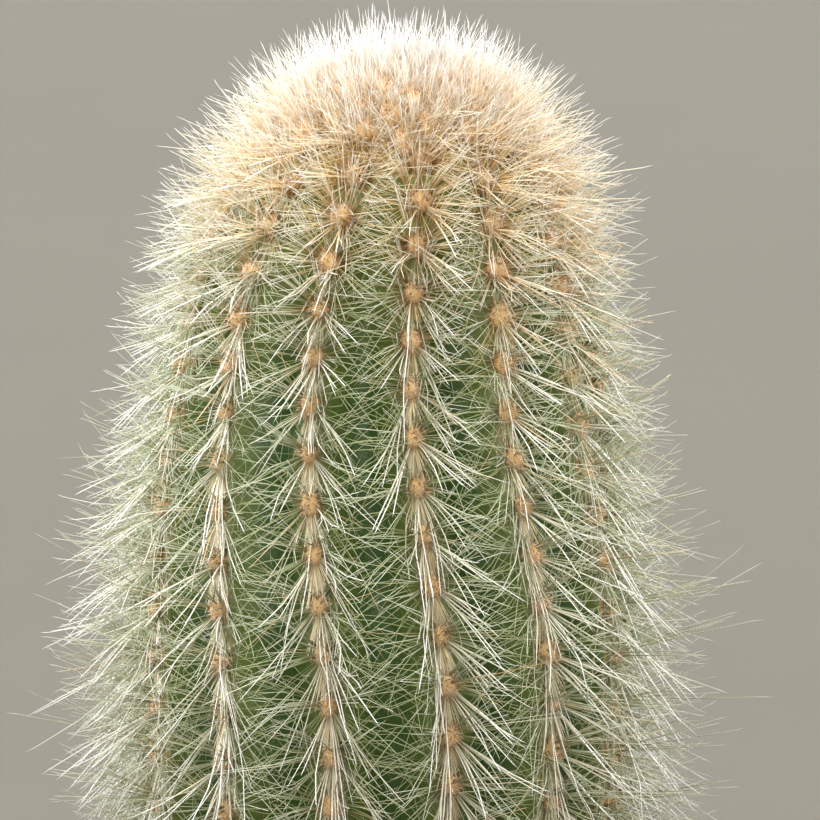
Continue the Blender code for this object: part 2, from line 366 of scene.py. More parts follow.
def crestFrame(drop, rib, step=0.0004):
    # on a crest: the point, and the directions out of the skin, down the rib and across it
    down = unit(stemPoint(drop + step, rib) - stemPoint(drop - step, rib))
    normal = unit(np.cross(down, outward(ribAngle(drop, rib) + math.pi / 2)))
    return stemPoint(drop, rib), normal, down, np.cross(normal, down)


# run along a crest from the tip, as a table of drop against distance
dropTable = np.arange(0, stem["tableEnd"], stem["tableStep"])
runTable = np.concatenate([[0], np.cumsum(np.hypot(stem["tableStep"], np.diff(crestRadius(dropTable))))])


def rowAt(distance):
    # How many areole steps a distance along the crest is from the first areole: the row that solves
    # distance = first + step * row + growth * row * row. It is held from 10 mm above the first on.
    s = stem
    inside = s["areoleStep"] ** 2 + 4 * s["areoleGrowth"] * np.maximum(distance - s["firstAreole"], -0.01)
    return (np.sqrt(inside) - s["areoleStep"]) / (2 * s["areoleGrowth"])


def areolePlaces():
    # Areole i stands on rib 5i of 13, i thirteenths of a row down from the first. The ones above the
    # first lie under the crown's edge.
    s = stem
    index = np.arange(-s["areolesAbove"], s["mostAreoles"])
    row = index / s["ribs"]
    distance = s["firstAreole"] + s["areoleStep"] * row + s["areoleGrowth"] * row * row
    drop = np.interp(distance, runTable, dropTable)
    kept = s["aboveSoil"] - drop > s["lowestAreole"]
    return drop[kept], (index[kept] * s["turnRibs"]) % s["ribs"]


# skin

skin = dict(
    columnsPerRib=16, rowStep=0.0008, firstRow=0.0004, footGap=0.0008, footDepth=0.0006, footShare=0.7,
    tubercle=0.00042, tubercleLevel=0.6, sharpness=1.5, dimple=0.00018, dimplePhase=0.72, dimpleLength=0.1,
    reliefStart=(0.01, 0.016), reliefEnd=0.103, pebble=0.00006, pebbleLength=0.0016,
    wave=0.00016, waveLength=0.011, youngEnd=(0.012, 0.042), youngShare=0.75,
    # furrow is a darker green laid into the furrows: painted shade
    crest=rgb(110, 128, 52), furrow=rgb(46, 78, 20), dark=rgb(40, 68, 24), young=rgb(142, 146, 66),
    fleck=rgb(150, 164, 96), felted=rgb(240, 226, 192), feltedWidth=0.00075, golden=rgb(250, 210, 138),
    goldenEnd=(0.0116, 0.0164),
)


def makeSkinMaterial():
    made, shader = newMaterial("greenSkin", Roughness=0.5, Coat_Weight=0.08, Coat_Roughness=0.35)
    youth = attribute("youth")
    patches = mottle(170.0, 0.45)
    # darker green deep in the furrows is painted shade
    tone = mixed(span(attribute("furrowShading"), 0.05, 0.9), skin["crest"], skin["furrow"])
    tone = mixed(times(youth, skin["youngShare"]), tone, skin["young"])
    tone = mixed(span(patches, 0, 1, 0.3, 0.0), tone, skin["dark"])
    # a pale fleck in the middle of each small cell, stronger on the pale patches
    cells = wire("TexVoronoi", {"Vector": place(), "Scale": 2600.0, "Randomness": 1.0})
    edges = cells.outputs["Distance"]
    chosen = times(span(edges, 0.3, 0.12), span(patches, 0.2, 0.9, 0.1, 0.55))
    tone = mixed(chosen, tone, skin["fleck"])
    # cream felt along the crests, golden round the tip
    band = times(attribute("band"), span(patches, 0, 1, 1.0, 0.7))
    tone = mixed(band, tone, mixed(youth, skin["felted"], skin["golden"]))
    feed(shader, Base_Color=tone, Roughness=span(patches, 0, 1, 0.42, 0.6))
    height = math2("ADD", times(edges, 0.5), noise(1500.0, 3.0))
    roughen(shader, height, 0.35, 0.0002)
    return made


def makeSkin():
    # Rings down the stem by distance along the crest. Each areole stands on a low swelling of its rib:
    # the skin is raised by cos of the areole phase, most on the crest, with a small dip above it.
    s, k = stem, skin
    endDrop = s["aboveSoil"] + s["buried"] - k["footGap"]
    end = np.interp(endDrop, dropTable, runTable)
    distance = np.linspace(k["firstRow"], end, int(end / k["rowStep"]))
    drop = np.interp(distance, runTable, dropTable)[:, None]
    columns = s["ribs"] * k["columnsPerRib"]
    rib = np.arange(columns)[None, :] / k["columnsPerRib"]
    whole = np.round(rib) % s["ribs"]
    phase = rowAt(distance)[:, None] - (whole * s["turnBack"] % s["ribs"]) / s["ribs"]
    # how far into a furrow each point lies: the mask of the painted furrow shade
    furrowShading = hollowAt(rib) * (furrowDepth(drop) / s["furrowDepth"])
    present = between(distance[:, None], *k["reliefStart"]) * between(drop, s["aboveSoil"], k["reliefEnd"])
    nearCrest = (1 - hollowAt(rib)) ** k["sharpness"]
    swelling = (0.5 + 0.5 * np.cos(twoPi * phase)) ** k["sharpness"]
    dip = np.exp(-((phase % 1.0 - k["dimplePhase"]) / k["dimpleLength"]) ** 2)
    relief = present * nearCrest * (k["tubercle"] * (swelling - k["tubercleLevel"]) - k["dimple"] * dip)
    points = stemPoint(drop + 0 * rib, rib + 0 * drop, relief)
    pebbles = ripples(points.reshape(-1, 3), k["pebbleLength"], 3).reshape(points.shape[:2])
    waves = ripples(points.reshape(-1, 3), k["waveLength"], 4).reshape(points.shape[:2])
    proud = relief + k["pebble"] * pebbles + k["wave"] * waves * present
    points = stemPoint(drop + 0 * rib, rib + 0 * drop, proud)
    under = np.array([0, 0, k["footDepth"]])
    points = np.concatenate([points, points[-1:] * [k["footShare"], k["footShare"], 1] - under])
    shape, faces = closedRings(points, axisAt(np.array(0.0)), axisAt(np.array(endDrop)) - under)
    youth = (1 - between(distance, *k["youngEnd"]))[:, None] + 0 * rib
    # the felted band is a bell curve across each crest, and all of the skin round the tip
    aside = (rib - np.round(rib)) * twoPi * crestRadius(drop) / s["ribs"]
    band = np.exp(-(aside / k["feltedWidth"]) ** 2) * between(drop, *felt["ribStart"])
    band = np.maximum(band, 1 - between(distance[:, None], *k["goldenEnd"]))
    flat = lambda grid: np.concatenate([grid.ravel(), grid[-1], [grid[0, 0], grid[-1, 0]]])
    piece = putMesh("stemSkin", shape, faces, makeSkinMaterial(),
                    {"furrowShading": flat(furrowShading), "youth": flat(youth), "band": flat(band)})
    hand(piece, "stem")


# felt pads, one to each areole

felt = dict(
    seed=21, ribSeed=25, across=0.001, along=0.00126, high=0.00106, sunk=0.0001, uneven=0.1,
    sizes=(0.88, 1.12), youngWidth=1.38, youngSize=1.14, youngDrops=(0.008, 0.036), padShades=(0, 0.3),
    ball=(5, 8), fuzz=64, fuzzLength=(0.000425, 0.001105), fuzzLonger=0.8, fuzzWidth=0.00012, fuzzDepth=0.97,
    fuzzSpread=0.96, fuzzRise=0.4, fuzzStray=0.35, fuzzBend=0.00022,
    ribHairs=44, ribSpread=0.0006, ribReach=0.0054, ribLength=(0.0012, 0.0026), ribWidth=0.00015,
    ribStart=(0.01, 0.04), ribDown=(0.7, 1.2), ribAcross=0.3, ribOff=(0.1, 0.42), ribBend=0.1,
    ribPress=0.15, ribShades=(2.0, 2.5), ribFoot=0.0042,
    deep=rgb(215, 171, 115), middle=rgb(226, 192, 142), pale=rgb(241, 217, 177), wool=rgb(246, 233, 199),
)


def makeFeltMaterial():
    # tan at the root and paler along each hair; a shade from 1 to 2 turns it to cream wool
    made, shader = newMaterial("areoleFelt", Roughness=0.95, Sheen_Weight=0.4, Sheen_Roughness=0.5)
    shade = attribute("shade")
    tone = mixed(mottle(900.0, 0.5), felt["deep"], felt["middle"])
    light = math2("ADD", times(attribute("along"), 0.7), times(shade, 0.4), True)
    tone = mixed(light, tone, felt["pale"])
    feed(shader, Base_Color=mixed(span(shade, 1, 2), tone, felt["wool"]))
    roughen(shader, noise(5000.0, 3.0), 0.8, 0.0002)
    return made


def padGrowth(drop):
    # how much wider, and how much larger in all, a pad at this drop is than one low on the stem
    young = 1 - between(drop, *felt["youngDrops"])
    return 1 + (felt["youngWidth"] / felt["youngSize"] - 1) * young, 1 + (felt["youngSize"] - 1) * young


def feltPads(name, node, point, frames, size, fuzzCount, rng, wider=1.0):
    # A pad at each point is a flattened ball with uneven sides; frames holds the directions across,
    # along and off the skin. Fuzz springs from all over each pad's upper half and leans off the skin.
    f = felt
    wider = np.broadcast_to(wider, len(point))
    axes = frames * np.array([f["across"], f["along"], f["high"]])[:, None] * size[:, None, None]
    axes[:, 0] *= wider[:, None]
    shape, faces = ballShape(*f["ball"])
    centres = point + frames[:, 2] * f["sunk"]
    shades = rng.uniform(*f["padShades"], len(point))
    pads = scatter(name + "Pads", feltMaterial, shape, faces, centres, axes,
                   {"shade": shades, "along": np.zeros(len(point))}, f["uneven"], rng)
    hand(pads, node)

    count = len(point) * fuzzCount
    which = np.repeat(np.arange(len(point)), fuzzCount)
    turn = rng.uniform(0, twoPi, count)
    reach = np.sqrt(rng.uniform(0, 1, count))
    rise = np.sqrt(1 - f["fuzzSpread"] * reach ** 2)
    local = np.stack([np.cos(turn) * reach, np.sin(turn) * reach, rise], -1)
    roots = centres[which] + np.einsum("nj,njc->nc", local * f["fuzzDepth"], axes[which])
    lean = unit(np.einsum("nj,njc->nc", local, frames[which]) + frames[which, 2] * f["fuzzRise"])
    aims = unit(lean + rng.normal(0, f["fuzzStray"], (count, 3)))
    longer = 1 + f["fuzzLonger"] * np.clip(wider[which] - 1, 0, 1)
    lengths = rng.uniform(*f["fuzzLength"], count) * size[which] * longer
    bends = rng.normal(0, f["fuzzBend"], (count, 3))
    fuzz = hairs(name + "Fuzz", feltMaterial, roots, aims, lengths, bends, 0 * bends,
                 f["fuzzWidth"], {"shade": rng.uniform(0, 1, count)}, steps=1)
    hand(fuzz, node)


def makeFelt(drop, rib):
    # one pad on each areole, larger towards the tip
    rng = np.random.default_rng(felt["seed"])
    point, normal, down, across = crestFrame(drop, rib.astype(float))
    wider, larger = padGrowth(drop)
    size = larger * rng.uniform(*felt["sizes"], len(drop))
    frames = np.stack([across, down, normal], 1)
    feltPads("areole", "stem", point, frames, size, felt["fuzz"], rng, wider)


def makeRibWool(drop, rib):
    # Short wool lies down each rib from one areole to the next, less of it near the tip. Its roots are
    # spread along the crest evenly and across it by a bell curve; it leans down and a little off the skin.
    f = felt
    rng = np.random.default_rng(f["ribSeed"])
    count = len(drop) * f["ribHairs"]
    which = np.repeat(np.arange(len(drop)), f["ribHairs"])
    distance = np.interp(drop[which], dropTable, runTable) + rng.uniform(0, f["ribReach"], count)
    hairDrop = np.interp(distance, runTable, dropTable)
    _, normal, down, across = crestFrame(hairDrop, rib[which].astype(float))
    aside = rng.normal(0, f["ribSpread"], count)
    roots = stemPoint(hairDrop, rib[which] + aside * stem["ribs"] / (twoPi * crestRadius(hairDrop)))
    one = (count, 1)
    aims = unit(down * rng.uniform(*f["ribDown"], one) + across * rng.normal(0, f["ribAcross"], one)
                + normal * rng.uniform(*f["ribOff"], one))
    lengths = rng.uniform(*f["ribLength"], count)
    kept = hairDrop < stem["aboveSoil"] - f["ribFoot"]
    kept &= rng.uniform(0, 1, count) < between(hairDrop, *f["ribStart"])
    bends = (rng.normal(0, f["ribBend"], (count, 3)) - normal * f["ribPress"]) * lengths[:, None]
    roots, aims, lengths, bends = (each[kept] for each in (roots, aims, lengths, bends))
    wool = hairs("ribWool", feltMaterial, roots, aims, lengths, bends, 0 * bends, f["ribWidth"],
                 {"shade": rng.uniform(*f["ribShades"], len(roots))}, steps=1)
    hand(wool, "stem")


# spines

spines = dict(
    seed=40, growth=(0.8, 1.12), growthDrops=(0.015, 0.07), longer=1.45, longDrops=(0.03, 0.07),
    widths=(0.75, 1.2), stray=5, clump=4, erectDrop=0.036, riseLimits=(4, 88), press=0.4, swingBack=0.5,
    rootHeight=0.0002, soilClear=0.0012, soilSpare=0.0025,
    youngDrops=(0.006, 0.036), oldDrops=(0.034, 0.094), goldenSide=(0.002, 0.014), goldenDrops=(0.014, 0.04),
    goldenGain=0.22, goldenFrom=0.93, goldenMost=0.7, cloudScale=1200.0, cloudShare=0.08, dullMost=0.34,
    earlyFrom=0.74, creamMost=0.7, freshSpan=(0.3, 0.8), freshMost=0.85,
    tan=rgb(226, 180, 120), dull=rgb(104, 100, 68), fresh=rgb(252, 218, 156), cream=rgb(250, 242, 222),
)
# Each material: how much light passes into it, the share of the length that has the root's colour,
# then root, middle and tip.
spineColours = dict(
    # The greenish grey middles and tips of the fine and middle spines are painted: painted shade, and the
    # skin's green painted in as if seen through them.
    fine=(0.0, 0.08, rgb(222, 190, 140), rgb(132, 148, 88), rgb(194, 202, 166)),
    middle=(0.0, 0.08, rgb(230, 202, 152), rgb(176, 184, 140), rgb(224, 228, 212)),
    rib=(0.0, 0.14, rgb(236, 206, 156), rgb(226, 210, 170), rgb(232, 222, 194)),
    stout=(0.0, 0.08, rgb(234, 208, 160), rgb(224, 219, 196), rgb(246, 246, 242)),
    young=(0.5, 0.4, rgb(250, 204, 130), rgb(248, 228, 182), rgb(250, 243, 228)),
)
# Each kind: how many to an areole and in groups of how many, degrees from straight down, degrees off the
# skin and how many more near the tip, length and width, waviness and sag as shares of the length, rings,
# material and where on the pad they spring from. Some have a share of long ones, and some fade: they
# come in from the first drop to the second.
spineKinds = dict(
    radialSpines=dict(
        count=32, group=2, turn=(30, 156), rise=(4, 26), gain=8, length=(0.0068, 0.0096), width=0.00013,
        wave=0.23, sag=0.14, steps=4, material="fine", pad=(0.7, 1.1)),
    innerSpines=dict(
        count=24, group=3, turn=(24, 160), rise=(20, 64), gain=14, length=(0.0066, 0.0098), width=0.00014,
        wave=0.15, sag=0.16, steps=3, material="middle", pad=(0.5, 1.0)),
    ribSpines=dict(
        count=26, group=2, turn=(0, 22), rise=(2, 10), gain=12, length=(0.0028, 0.005), width=0.00018,
        wave=0.06, sag=0.0, steps=2, material="rib", pad=(0.5, 1.0), fade=(0.01, 0.04)),
    centralSpines=dict(
        count=9, group=3, turn=(14, 70), rise=(20, 62), gain=20, length=(0.0084, 0.012), width=0.00019,
        wave=0.1, sag=0.18, steps=4, material="stout", pad=(0.2, 0.8), long=0.04),
    upperSpines=dict(
        count=6, group=2, turn=(112, 180), rise=(52, 76), gain=6, length=(0.008, 0.0118), width=0.00017,
        wave=0.05, sag=0.04, steps=2, material="middle", pad=(0.1, 0.7), long=0.14),
    youngSpines=dict(
        count=54, group=3, turn=(0, 180), rise=(8, 56), gain=0, length=(0.0056, 0.0094), width=0.00013,
        wave=0.08, sag=0.04, steps=2, material="young", pad=(0.4, 1.0), fade=(0.03, 0.014)),
    tipSpines=dict(
        count=16, group=2, turn=(0, 180), rise=(52, 84), gain=0, length=(0.0086, 0.0124), width=0.00012,
        wave=0.06, sag=0.02, steps=2, material="young", pad=(0.1, 0.9), fade=(0.022, 0.008)),
)


def makeSpineMaterial(name, through, rootShare, root, pale, tip):
    # root colour over the first share of the length, more of it near the plant's tip, then pale to the tip
    s = spines
    made, shader = newMaterial(name, Roughness=0.38, Coat_Weight=0.1, Coat_Roughness=0.3,
                               Subsurface_Weight=through, Subsurface_Scale=0.0008)
    shader.inputs["Subsurface Radius"].default_value = (1.0, 0.92, 0.74)
    along = attribute("along")
    youth = attribute("youth")
    clouds = span(noise(s["cloudScale"], 1.0), *noiseSpan)
    golden = span(attribute("shade"), s["goldenFrom"], 1.0, 0.0, s["goldenMost"])
    tone = mixed(golden, mixed(along, pale, tip), s["tan"])
    tone = mixed(times(clouds, s["cloudShare"]), tone, s["tan"])
    # duller with age; near the tip cream, and golden towards the root
    tone = mixed(span(youth, 0, -1, 0.0, s["dullMost"]), tone, s["dull"])
    early = span(youth, s["earlyFrom"], 1.0)
    tone = mixed(times(early, s["creamMost"]), tone, s["cream"])
    fresh = times(early, span(along, *s["freshSpan"], s["freshMost"], 0.0))
    tone = mixed(fresh, tone, s["fresh"])
    younger = math2("MAXIMUM", youth, 0.0)
    stained = math2("ADD", rootShare, times(younger, rootShare))
    rootMask = span(math2("DIVIDE", along, stained), 0.15, 1.0, 1.0, 0.0)
    tone = mixed(rootMask, tone, root)
    feed(shader, Base_Color=tone, Roughness=span(clouds, 0, 1, 0.3, 0.48))
    return made


def spineFields(kind, drop, rib, rng):
    # For each spine of a kind: its root on the pad, its aim, length and bend. Small groups share an
    # aim and stray a little from it. The groups are even on both sides of the rib. Spines near the
    # tip stand up more from the skin. A kind that fades has fewer and fewer between its two drops.
    s = spines
    groups = math.ceil(kind["count"] / kind["group"])
    which = np.repeat(np.arange(len(drop)), kind["count"])
    group = np.tile(np.arange(kind["count"]) // kind["group"], len(drop))
    kept = rng.uniform(0, 1, len(which)) < between(drop[which], *kind.get("fade", (-1.0, 0.0)))
    which, group = which[kept], group[kept]
    count = len(which)
    point, normal, down, across = (each[which] for each in crestFrame(drop, rib.astype(float)))
    side = np.where(group % 2 == 0, 1.0, -1.0)
    drawn = rng.uniform(0, 1, (2, len(drop), groups))[:, which, group]
    share = (group // 2 + drawn[0]) / math.ceil(groups / 2)
    stray = rng.normal(0, s["stray"], (2, count))
    turn = np.radians(blend(kind["turn"], np.clip(share, 0, 1)) * side + stray[0])
    erect = kind["gain"] * (1 - between(drop[which], 0, s["erectDrop"]))
    clump = rng.normal(0, s["clump"], len(drop))[which]
    rise = np.clip(blend(kind["rise"], drawn[1]) + stray[1] + erect + clump, *s["riseLimits"])
    rise = np.radians(rise)
    flat = down * np.cos(turn)[:, None] + across * np.sin(turn)[:, None]
    aims = flat * np.cos(rise)[:, None] + normal * np.sin(rise)[:, None]
    growth = blend(s["growth"], between(drop[which], *s["growthDrops"]))
    lengths = rng.uniform(*kind["length"], count) * growth
    longShare = kind.get("long", 0.0) * between(drop[which], *s["longDrops"])
    lengths = np.where(rng.uniform(0, 1, count) < longShare, lengths * s["longer"], lengths)
    # a spine whose tip would come too near the soil is turned up until it is clear
    lowest = soilTop + s["soilClear"] - point[:, 2]
    dips = np.minimum(0, (lowest + s["soilSpare"]) / lengths)
    level = unit(aims * [1, 1, 0])
    raised = level * np.sqrt(1 - dips ** 2)[:, None] + up * dips[:, None]
    aims = np.where((aims[:, 2] < dips)[:, None], raised, aims)
    wave, sag, long = kind["wave"], kind["sag"], lengths[:, None]
    bends = (rng.normal(0, wave, (count, 3)) - normal * s["press"] * wave - up * sag) * long
    curls = (rng.normal(0, wave, (count, 3)) - s["swingBack"] * bends / long) * long
    wider, larger = padGrowth(drop[which])
    reach = rng.uniform(*kind["pad"], count) * larger
    roots = (point + down * (felt["along"] * reach * np.cos(turn))[:, None] + normal * s["rootHeight"]
             + across * (felt["across"] * reach * wider * np.sin(turn))[:, None])
    return which, roots, aims, lengths, bends, curls


def youthAt(drop):
    # 1 at the tip, 0 from 36 mm down, then on to -1 near the soil, where the plant is oldest
    return 1 - between(drop, *spines["youngDrops"]) - between(drop, *spines["oldDrops"])


def goldenShade(roots, drop, rng):
    # an even draw, raised on the right of the shoulder, where more of the spines are golden
    right = between(roots[:, 0], *spines["goldenSide"]) * (1 - between(drop, *spines["goldenDrops"]))
    return np.minimum(1, rng.uniform(0, 1, len(roots)) + spines["goldenGain"] * right)


def makeSpines(drop, rib):
    materials = {key: makeSpineMaterial(key + "Spine", *colours) for key, colours in spineColours.items()}
    for number, (name, kind) in enumerate(spineKinds.items()):
        rng = np.random.default_rng(spines["seed"] + number)
        which, roots, aims, lengths, bends, curls = spineFields(kind, drop, rib, rng)
        widths = kind["width"] * rng.uniform(*spines["widths"], len(which))
        values = {"shade": goldenShade(roots, drop[which], rng), "youth": youthAt(drop[which])}
        piece = hairs(name, materials[kind["material"]], roots, aims, lengths, bends, curls, widths, values,
                      kind["steps"])
        hand(piece, "stem")


# crown

# woolGrowth, strays and growth each go from the crown's middle to its edge
crown = dict(
    seed=61, thickness=0.0024, lip=0.0005, gap=0.00035, tufts=60, tuftReach=1.03,
    topRings=34, underRings=14, segments=110, innermost=0.04, lump=0.0009, lumpReach=0.0011,
    ripple=0.00018, rippleLength=0.0022, edge=0.1, edgeRise=0.15,
    woolHairs=20000, woolLength=(0.001, 0.00275), woolGrowth=(1.05, 0.6), woolWidth=0.0001,
    woolDepth=0.9, woolRise=0.3, woolStray=0.45, woolBend=0.0006,
    bristles=150, bristleLength=(0.002, 0.0044), growth=(0.7, 1.1), longShare=0.22, longer=1.9,
    bristleWidth=0.00009, widths=(0.7, 1.2), lean=46, leanPower=1.4, strays=(0.16, 0.52), bend=0.06,
    inward=0.05, curl=0.04, rootSpread=0.00035, rootDepth=0.0003, youth=2.2,
    padFrom=0.45, padSize=1.22, padSizes=(0.85, 1.2), padHeight=0.0004, padFuzz=48,
    root=rgb(251, 202, 124), deep=rgb(249, 192, 110), middle=rgb(252, 214, 146), pale=rgb(253, 234, 190),
    white=rgb(208, 204, 190),
)


def capPoint(share, angle, height):
    # a point at this share of the way to the wool's edge and this height off the tip's dome
    drop = stem["capDrop"] * share ** 2
    slope = (crestRadius(drop + 0.0001) - crestRadius(drop)) / 0.0001
    normal = unit(outward(angle) + up * slope[..., None])
    dome = axisAt(drop) + outward(angle) * crestRadius(drop)[..., None]
    return dome + normal * height[..., None], normal


def capThickness(share):
    return crown["lip"] + (crown["thickness"] - crown["lip"]) * (1 - share ** 2)


def tuftPlaces():
    # young areoles crowd round the tip in a golden spiral
    number = np.arange(crown["tufts"])
    share = crown["tuftReach"] * np.sqrt((number + 0.5) / crown["tufts"])
    return share, number * math.pi * (3 - math.sqrt(5))


def nearTuft(points, tufts):
    # 1 at a tuft's middle, falling to 0 about a millimetre away
    gap = np.linalg.norm(points[:, None] - tufts[None], axis=-1).min(1)
    return np.exp(-(gap / crown["lumpReach"]) ** 2)


def makeWoolMaterial():
    made, shader = newMaterial("crownWool", Roughness=0.95, Sheen_Weight=0.5, Sheen_Roughness=0.5,
                               Subsurface_Weight=0.6, Subsurface_Scale=0.001)
    shader.inputs["Subsurface Radius"].default_value = (1.0, 0.92, 0.72)
    heart = times(attribute("heart"), span(mottle(420.0, 0.4), 0, 1, 0.6, 1.0))
    base = mixed(heart, crown["middle"], crown["deep"])
    pale = mixed(attribute("shade"), crown["pale"], crown["white"])
    feed(shader, Base_Color=mixed(span(attribute("along"), 0.0, 1.1), base, pale))
    roughen(shader, noise(3200.0, 3.0), 0.8, 0.0003)
    return made


def makeCap(material, tufts):
    # The cap's top from the middle out, then its underside back. Its top swells at each tuft.
    c = crown
    inner = c["innermost"]
    share = np.concatenate([np.linspace(inner, 1, c["topRings"]), np.linspace(1, inner, c["underRings"])])
    top = np.repeat([1.0, 0.0], [c["topRings"], c["underRings"]])[:, None]
    angle = circle(c["segments"])
    share, angle = share[:, None] + 0 * angle, angle + 0 * share[:, None]
    rings, normal = capPoint(share, angle, c["gap"] + capThickness(share) * top)
    heart = nearTuft(rings.reshape(-1, 3), tufts).reshape(share.shape)
    lumps = ripples(rings.reshape(-1, 3), c["rippleLength"], 8).reshape(share.shape)
    raised = top * ease((1 - share) / c["edge"] + c["edgeRise"]) * (c["lump"] * heart + c["ripple"] * lumps)
    rings = rings + normal * raised[..., None]
    tip = axisAt(np.array(0.0))
    shape, faces = closedRings(rings, tip + up * (c["gap"] + c["thickness"]), tip + up * c["gap"])
    flat = lambda grid: np.concatenate([grid.ravel(), [grid[0, 0], grid[-1, 0]]])
    wool = putMesh("crownWool", shape, faces, material,
                   {"heart": flat(heart), "along": flat(0 * heart), "shade": flat(0 * heart)})
    hand(wool, "crown")


def makeFleece(material, tufts, rng):
    # fine wool all over the cap, its roots spread evenly, longest and palest in the middle
    c = crown
    count = c["woolHairs"]
    share = np.sqrt(rng.uniform(0, 1, count))
    angle = rng.uniform(0, twoPi, count)
    roots, normal = capPoint(share, angle, c["gap"] + capThickness(share) * c["woolDepth"])
    aims = unit(normal + up * c["woolRise"] + rng.normal(0, c["woolStray"], (count, 3)))
    lengths = rng.uniform(*c["woolLength"], count) * blend(c["woolGrowth"], share)
    bends = rng.normal(0, c["woolBend"], (count, 3))
    pale = rng.uniform(0, 1, count) * (1.1 - share)
    fleece = hairs("crownFleece", material, roots, aims, lengths, bends, 0 * bends,
                   c["woolWidth"], {"shade": pale, "heart": nearTuft(roots, tufts)}, steps=1)
    hand(fleece, "crown")


def makeBristles(tuftShare, tuftAngle, tuftPoint, tuftNormal, rng):
    # Bristles stand up from each tuft. Towards the edge they lean out and stray more and are longer.
    c = crown
    count = c["tufts"] * c["bristles"]
    which = np.repeat(np.arange(c["tufts"]), c["bristles"])
    share, out = tuftShare[which], outward(tuftAngle[which])
    lean = np.radians(c["lean"]) * share ** c["leanPower"]
    middle = out * np.sin(lean)[:, None] + up * np.cos(lean)[:, None]
    aims = unit(middle + rng.normal(0, blend(c["strays"], share[:, None]), (count, 3)))
    aims[:, 2] = np.maximum(aims[:, 2], 0.5 - 0.75 * share)   # none points far down
    aims = unit(aims)
    lengths = rng.uniform(*c["bristleLength"], count) * blend(c["growth"], share)
    lengths = np.where(rng.uniform(0, 1, count) < c["longShare"], lengths * c["longer"], lengths)
    bends = (rng.normal(0, c["bend"], (count, 3)) - out * c["inward"]) * lengths[:, None]
    curls = rng.normal(0, c["curl"], (count, 3)) * lengths[:, None]
    roots = tuftPoint[which] + rng.normal(0, c["rootSpread"], (count, 3)) - tuftNormal[which] * c["rootDepth"]
    widths = c["bristleWidth"] * rng.uniform(*c["widths"], count)
    material = makeSpineMaterial("crownBristle", 0.6, 0.34, c["root"], c["pale"], c["white"])
    bristles = hairs("crownBristles", material, roots, aims, lengths, bends, curls, widths,
                     {"shade": rng.uniform(0, 1, count), "youth": c["youth"] * share}, steps=2)
    hand(bristles, "crown")


def makeCrown():
    rng = np.random.default_rng(crown["seed"])
    material = makeWoolMaterial()
    share, angle = tuftPlaces()
    point, normal = capPoint(np.minimum(share, 1.0), angle, crown["gap"] + capThickness(share))
    makeCap(material, point)
    makeFleece(material, point, rng)
    makeBristles(share, angle, point, normal, rng)
    # felt pads show among the bristles of the outer tufts
    outer = share > crown["padFrom"]
    point, normal = point[outer], normal[outer]
    across = unit(np.cross(normal, up))
    frames = np.stack([across, np.cross(across, normal), normal], 1)
    size = crown["padSize"] * rng.uniform(*crown["padSizes"], outer.sum())
    point = point + normal * crown["padHeight"]
    feltPads("crown", "crown", point, frames, size, crown["padFuzz"], rng)


# soil

soil = dict(
    seed=71, mound=0.0025, stemGap=0.0002, wallGap=0.0003, segments=220, rows=48, underRows=8, collar=0.003,
    holeGap=0.0008, holeMiddle=0.0006, wallDrop=0.004, relief=0.0007,
    waves=((0.5, 0.0075, 11), (0.35, 0.0032, 12), (0.2, 0.0014, 13)),   # share, length and seed
    stoneSpare=(0.0012, 0.0014), stoneSizes=2.5, flatness=(0.55, 1.0), lift=0.2, uneven=0.16,
    dark=rgb(52, 38, 28), brown=rgb(98, 74, 54), grit=rgb(176, 162, 140), stone=rgb(206, 196, 178),
)
soilStones = dict(
    soilCrumbs=dict(count=1900, size=(0.0003, 0.0011), ball=(3, 5), paleShare=0.12, pale=(0.3, 0.8), plain=0),
    soilGrit=dict(count=420, size=(0.0006, 0.0016), ball=(5, 7), paleShare=0.45, pale=(0.5, 1.0), plain=0.1),
)


def makeSoilMaterial():
    made, shader = newMaterial("pottingMix", Roughness=0.95)
    tone = mixed(mottle(260.0, 0.6), soil["dark"], soil["brown"])
    paler = mixed(mottle(900.0, 0.5), soil["grit"], soil["stone"])
    feed(shader, Base_Color=mixed(attribute("shade"), tone, paler))
    roughen(shader, noise(2200.0, 5.0), 0.9, 0.0004)
    return made


def soilPoints(radius, angle):
    # on the soil's surface, a low mound against the stem with crumbs of several sizes
    inner = crestRadius(np.array(stem["aboveSoil"]))
    share = np.clip((radius - inner) / (innerRadius(soilTop) - inner), 0, 1)
    flat = around(radius, angle, 0 * radius)
    rough = sum(part * ripples(flat, length, seed) for part, length, seed in soil["waves"])
    height = soilTop + soil["mound"] * (1 - share) ** 2 + soil["relief"] * rough
    return flat + up * height[..., None]


